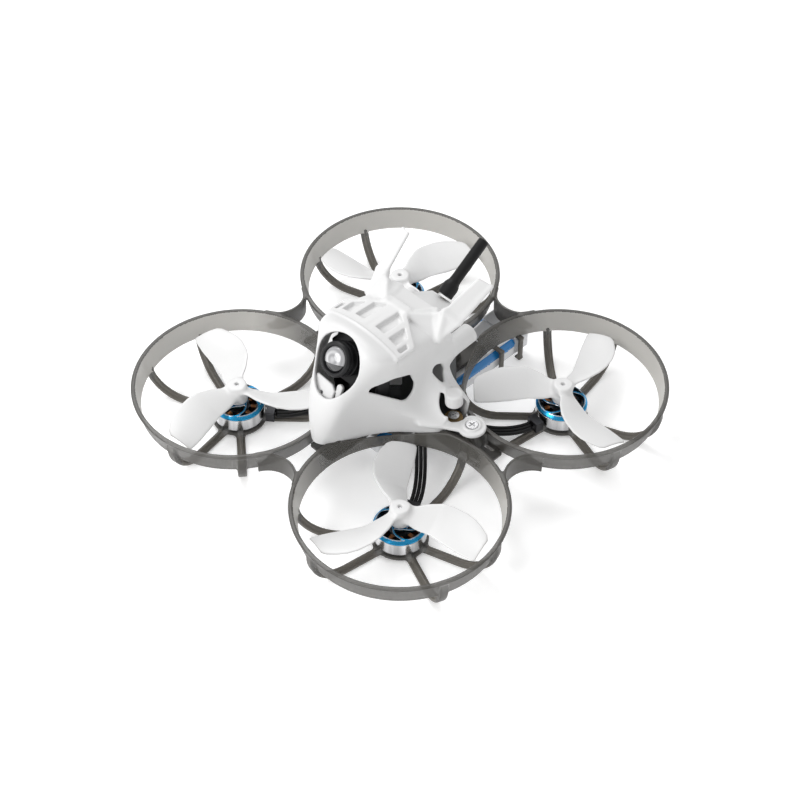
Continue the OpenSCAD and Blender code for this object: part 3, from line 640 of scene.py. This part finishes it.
def turned(v, degrees):
    a = math.radians(degrees)
    v = np.asarray(v, float)
    return np.stack((v[:, 0] * math.cos(a) - v[:, 1] * math.sin(a),
                     v[:, 0] * math.sin(a) + v[:, 1] * math.cos(a), v[:, 2]), 1)


def moved(v, place):
    return np.asarray(v, float) + np.array(place, float)


def stands_for(obj, body, slot, *nodes):
    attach(obj, body)
    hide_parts(*nodes)
    return obj


def crisp(obj, degrees=38):
    obj.data.set_sharp_from_angle(angle=math.radians(degrees))
    return obj


MOTORS = {c: (M * sx, M * sy, 0.0) for c, (sx, sy) in CORNERS.items()}
PROP_A = {"front_left": 13, "front_right": 39, "rear_left": 106, "rear_right": 76}
MIRRORED = ("front_right", "rear_left")
CHORD_U = (0, 3, 5, 8.3, 11, 14.4, 17, 19.3, 21.5, 22.4)
CHORD_LOW = (-1.5, -1.8, -1.8, -1.7, -2.0, -2.6, -3.1, -3.4, -3.6, -3.2)
CHORD_HIGH = (1.8, 3.0, 4.6, 6.4, 7.0, 7.1, 6.6, 5.6, 4.2, 2.9)


def prop_field(x, y, z):
    """A three-blade propeller that turns anticlockwise, about the Z axis, its first blade along X."""
    r = np.hypot(x, y)
    solid = rounded(r - 2.45, np.abs(z - 9.6) - 2.8, 0.55)
    outline = list(zip(CHORD_U, CHORD_HIGH)) + list(zip(CHORD_U, CHORD_LOW))[::-1]
    for k in range(3):
        a = math.radians(120 * k)
        u = x * math.cos(a) + y * math.sin(a)
        v = y * math.cos(a) - x * math.sin(a)
        low_edge = np.interp(u, CHORD_U, CHORD_LOW)
        high_edge = np.interp(u, CHORD_U, CHORD_HIGH)
        mid = (low_edge + high_edge) / 2
        half = (high_edge - low_edge) / 2
        slope = np.minimum(4.4 / np.maximum(u, 1), 0.5)
        sheet = 10.2 + (v - mid) * slope + 0.45 * (1 - ((v - mid) / half) ** 2)
        h = (z - sheet) / np.sqrt(1 + slope * slope)
        thick = 0.36 - 0.006 * u
        one = rounded(polygon(u, v, outline) + 0.3, np.abs(h) - thick + 0.12, 0.2) - 0.12
        solid = smin(solid, np.where(u > 0, one, 9.0), 1.3)
    solid = np.maximum(np.maximum(solid, r - 22.45), np.maximum(8.55 - z - 2 * (r < 3), z - 12.38))
    return smax(solid, np.where(z > 11.6, 0.55 - r, -9), 0.15)


fine = 0.2
low = (-22.8, -22.8, 6.2)
xs, ys, zs = grid(low, (22.8, 22.8, 12.9), fine)
verts, faces = net(prop_field(*np.broadcast_arrays(xs, ys, zs)), low, fine)
for c in CORNERS:
    v, f = verts, faces
    if c in MIRRORED:
        v, f = verts * (1, -1, 1), faces[:, ::-1]
    prop = mesh_object("propeller_visual_" + c, moved(turned(v, PROP_A[c]), MOTORS[c]), f, [PROP])
    stands_for(decimated(prop, 0.35), "rotor_" + c, "prop_white", "propeller_" + c)


def bell_window(x, y):
    """The five windows between the curved arms of a bell."""
    r = np.hypot(x, y)
    a = np.arctan2(y, x) - 0.30 * (r - 2.4)
    a = (a + math.pi / 5) % (2 * math.pi / 5) - math.pi / 5
    return smax(smax(r - 5.6, 2.45 - r, 0.6), (np.abs(a) - 0.525) * np.maximum(r, 1), 0.6)


def bell_field(x, y, z):
    r = np.hypot(x, y)
    bevel = (r - 5.75) * 0.75 + (z - 6.8) * 0.66
    cap = np.maximum(rounded(r - BELL_R + 0.02, np.abs(z - 6.2) - 0.6, 0.12), bevel)
    cap = smax(cap, -np.maximum(r - 5.5, z - 5.95), 0.1)
    return smax(cap, -bell_window(x, y), 0.25)


fine = 0.1
low = (-6.8, -6.8, 5.3)
xs, ys, zs = grid(low, (6.8, 6.8, 7.1), fine)
verts, faces = net(bell_field(*np.broadcast_arrays(xs, ys, zs)), low, fine)
for i, c in enumerate(CORNERS):
    v, f = verts, faces
    if c in MIRRORED:
        v, f = verts * (1, -1, 1), faces[:, ::-1]
    bell = mesh_object("bell_visual_" + c, v, f, [BLUE, SILVER])
    decimated(bell, 0.5)
    centres, normals = face_places(bell)
    sign = -1 if c in MIRRORED else 1
    edge = np.abs(bell_window(centres[:, 0], sign * centres[:, 1])) < 0.32
    cut = edge & (normals[:, 2] > 0.12) & (normals[:, 2] < 0.93) & (centres[:, 2] > 6.3)
    colour_faces(bell, cut)
    turn = Matrix.Rotation(math.radians((20, 44, 8, 60)[i]), 4, "Z")
    bell.data.transform(Matrix.Translation(Vector(MOTORS[c]) * MM) @ turn)
    stands_for(bell, "rotor_" + c, "bell_blue", "rotor_bell_" + c)

    ring = lathe([(6.0, 2.1), (6.38, 2.1), (6.48, 2.25), (6.48, 5.45), (6.40, 5.58), (6.0, 5.58)], 96, 0.05)
    ring = mesh_object("ring_visual_" + c, moved(ring[0], MOTORS[c]), ring[1], [SILVER])
    stands_for(crisp(ring), "rotor_" + c, "ring_silver", "flux_ring_" + c)

coils = []
for c in CORNERS:
    for k in range(9):
        for layer in range(5):
            for row in (0, 1):
                depth = 3.15 + 0.28 * layer + 0.07 * row
                wide, tall = 0.42 + 0.16 * row, 1.02 + 0.16 * row
                loop = []
                for j in range(20):
                    a = 2 * math.pi * j / 20
                    ca, sa = math.cos(a), math.sin(a)
                    across = wide * math.copysign(abs(ca) ** 0.6, ca)
                    loop.append((depth, across, 3.9 + tall * math.copysign(abs(sa) ** 0.6, sa)))
                v, q = tube_mesh(loop, 0.13, (1, 0, 0), 6, closed=True)
                coils.append((moved(turned(v, 40 * k), MOTORS[c]), q))
coils = merged(coils)
stands_for(mesh_object("coils", coils[0], coils[1], [COPPER]), "chassis", "copper", "stator_windings")

WIRE_A = {"front_left": 114, "front_right": 142, "rear_left": 100, "rear_right": 142}
WIRE_END = {"front_left": (13.5, -6.4), "front_right": (12.55, -7.05),
            "rear_left": (14.0, -5.8), "rear_right": (12.55, -7.05)}
WIRE_Z = {"front_left": 0.5, "front_right": 2.5, "rear_left": 0.5, "rear_right": 2.5}
for c, (sx, sy) in CORNERS.items():
    a = math.radians(WIRE_A[c])
    out = np.array((math.cos(a), math.sin(a), 0))
    start = np.array((M, -M, 3.1)) + 9.3 * out
    end = np.array((*WIRE_END[c], 12.3))
    side = np.cross(end * (1, 1, 0) - start * (1, 1, 0), (0, 0, 1))
    side /= np.linalg.norm(side)
    route = [start, start + 6.7 * out, np.array((*WIRE_END[c], WIRE_Z[c])), end]
    path = []
    for t in np.linspace(0, 1, 36):
        weights = ((1 - t) ** 3, 3 * t * (1 - t) ** 2, 3 * t * t * (1 - t), t ** 3)
        path.append(sum(w * p for w, p in zip(weights, route)))
    strands = merged([tube_mesh(np.array(path) + k * 1.02 * side, 0.48, side, 14) for k in (-1, 0, 1)])
    v, q = strands[0] * (sx, -sy, 1), strands[1]
    if sx * -sy < 0:
        q = q[:, ::-1]
    stands_for(mesh_object("wires_" + c, v, q, [RUBBER]), "chassis", "wire_black", "motor_wires_" + c)


# ---------- antenna, camera lens and battery ----------

def placed(obj, place, tip):
    """Tips an object made about Z by an angle about X and moves it."""
    obj.data.transform(Matrix.Translation(Vector(place) * MM) @ Matrix.Rotation(math.radians(tip), 4, "X"))
    return obj


sleeve = lathe([(0.5, 0), (2.05, 0), (2.05, 2.6), (1.9, 3.2), (1.5, 4.0), (1.42, 5.0), (1.4, 16.3),
                (1.2, 16.6), (0.5, 16.6)], 40, 0.12)
sleeve = placed(mesh_object("sleeve", *sleeve, [RUBBER]), (0, 15.4, 32.1), 34 - 90)
stands_for(crisp(sleeve), "chassis", "wire_black", "antenna_sleeve")

CAM = (0, -13.15, 30.5)
barrel = lathe([(0, 4), (4.1, 4), (4.1, 6.2), (4.35, 6.3), (4.35, 6.7), (4.1, 6.8), (4.1, 8.0), (4.3, 8.15),
                (4.3, 8.6), (4.2, 8.7), (4.3, 8.8), (4.3, 9.9), (3.9, 10.4), (3.4, 10.4), (3.15, 9.9),
                (3.1, 9.6), (0, 9.6)], 72, 0.05)
barrel = placed(mesh_object("barrel", *barrel, [BLACK]), CAM, 58)
stands_for(crisp(barrel), "camera", "camera_black", "lens_barrel")
dome = [(0, 9.62)] + [(3.1 * math.cos(a), 9.62 + 1.25 * math.sin(a)) for a in np.linspace(0, math.pi / 2, 14)]
dome = lathe(dome, 64, 0.01)


def lens_with_painted_reflection():
    """Dark glass with a painted reflection: a pale upper half in faint rings above a dark lower half."""
    material = finish_of("lens_glass_painted_reflection", (0.05, 0.05, 0.055), 0.10, grain=400, bump=0.01, tint=0.1,
                         Coat_Weight=1.0, Coat_Roughness=0.03)
    tree = material.node_tree
    place = add_node(tree, "ShaderNodeVectorMath", Vector=object_place(tree))
    place.operation = "DOT_PRODUCT"
    place.inputs[1].default_value = (-0.25, 0.42, 0.87)
    reflection_edge = add_node(tree, "ShaderNodeMapRange", Value=place.outputs["Value"],
                     From_Min=0.02105, From_Max=0.02120)
    wave = tree.nodes.new("ShaderNodeTexWave")
    wave.wave_type = "RINGS"
    wave.rings_direction = "SPHERICAL"
    centre = add_node(tree, "ShaderNodeVectorMath", Vector=object_place(tree))
    centre.operation = "SUBTRACT"
    centre.inputs[1].default_value = (0, -0.0218, 0.0359)
    tree.links.new(centre.outputs["Vector"], wave.inputs["Vector"])
    wave.inputs["Scale"].default_value = 260
    # Painted reflection: the upper half is pale, in rings of two greys.
    pale = add_node(tree, "ShaderNodeMix", Factor=wave.outputs["Fac"])
    pale.data_type = "RGBA"
    pale.inputs[6].default_value = (0.30, 0.30, 0.31, 1)
    pale.inputs[7].default_value = (0.52, 0.52, 0.53, 1)
    both = add_node(tree, "ShaderNodeMix", Factor=reflection_edge.outputs["Result"])
    both.data_type = "RGBA"
    both.inputs[6].default_value = (0.02, 0.02, 0.022, 1)
    tree.links.new(pale.outputs[2], both.inputs[7])
    tree.links.new(both.outputs[2], tree.nodes["Principled BSDF"].inputs["Base Color"])
    return material


dome = placed(mesh_object("dome", *dome, [lens_with_painted_reflection()]), CAM, 58)
stands_for(dome, "camera", "lens_glass", "lens_glass")


def mount_field(x, y, z):
    """The camera's side arms and base, and the pale plate in front of them."""
    arms = np.minimum(block(np.abs(x) - 7.2, y + 13.15, z - 24.7, (0.5, 2.2, 8.7), 0.3),
                      block(x, y + 13.15, z - 16.5, (6.2, 2.2, 0.5), 0.3))
    depth = -(y - FACE[1]) * math.cos(TILT) + (z - FACE[2]) * math.sin(TILT)
    rise = (y - FACE[1]) * math.sin(TILT) + (z - FACE[2]) * math.cos(TILT)
    outline = [(-4.6, -4.6), (-4.9, -8.6), (-2.7, -10.8), (2.0, -10.8), (1.6, -6.0), (0.4, -4.9)]
    sheet = polygon(x, rise, outline, 0.2)
    sheet = smax(sheet, 0.45 - np.hypot(x + 1.6, rise + 8.0), 0.1)
    sheet = rounded(sheet, np.abs(depth + 2.0) - 0.4, 0.2)
    strut = rounded(segment(x, rise, (2.4, -4.6), (3.2, -9.6), 0.9, 0.4), np.abs(depth + 2.6) - 0.5, 0.2)
    return smin(arms, np.minimum(sheet, strut), 0.2)


fine = 0.2
low = (-8.2, -28.5, 15.4)
xs, ys, zs = grid(low, (8.2, -10.4, 34.2), fine)
verts, faces = net(mount_field(*np.broadcast_arrays(xs, ys, zs)), low, fine)
mount = decimated(mesh_object("camera_mount", verts, faces, [WHITE, BLACK]), 0.4)
colour_faces(mount, face_places(mount)[0][:, 1] > -16.0)
stands_for(mount, "chassis", "canopy_white", "camera_bracket")


def battery_field(x, y, z):
    body = rounded(rounded(np.abs(x) - 6.25, np.abs(z - 4.4) - 2.72, 1.3), np.abs(y - 11.0) - 24.9, 0.7)
    fold = 0.05 * np.cos(y * 0.9) * np.exp(-np.abs(z - 4.4))
    return body + fold * 0.5


low = (-7.0, -15.0, 1.0)
xs, ys, zs = grid(low, (7.0, 37.0, 7.8), STEP)
verts, faces = net(battery_field(*np.broadcast_arrays(xs, ys, zs)), low, STEP)
pack = decimated(mesh_object("battery_visual", verts, faces, [WRAP_WHITE, WRAP_BLUE]), 0.4)
centres = face_places(pack)[0]
colour_faces(pack, (np.abs(centres[:, 0]) > 5.0) & (centres[:, 2] > 5.2) & (centres[:, 1] > -13.4))
stands_for(pack, "battery", "cell_white", "battery_cell", "battery_wrap")

paint(STEEL, *["rotor_magnets_" + c for c in CORNERS], *["shaft_" + c for c in CORNERS], "motor_bearings",
      "canopy_screws", "board_screws", "camera_pivots", "shield_can", "usb_socket", "button_case")
paint(DARK_METAL, *["motor_base_" + c for c in CORNERS], "motor_screws")
paint(LAMINATION, "stator_cores")
paint(BOARD, "flight_board")
paint(BLACK, "board_chips", "bind_button", "camera_case")
paint(GROMMET, "board_grommets")
paint(BRASS, "antenna_core")
paint(WRAP_WHITE, "battery_end_cap")

floor_mesh = bpy.data.meshes.new("floor")
shape = bmesh.new()
bmesh.ops.create_grid(shape, x_segments=1, y_segments=1, size=3)
shape.to_mesh(floor_mesh)
floor = bpy.data.objects.new("floor", floor_mesh)
floor_mesh.materials.append(finish_of("studio_floor", (0.95, 0.95, 0.95), 0.9, grain=60, bump=0.0, tint=0.003,
                                      Emission_Color=(1, 1, 1, 1), Emission_Strength=0.28))
bpy.context.scene.collection.objects.link(floor)
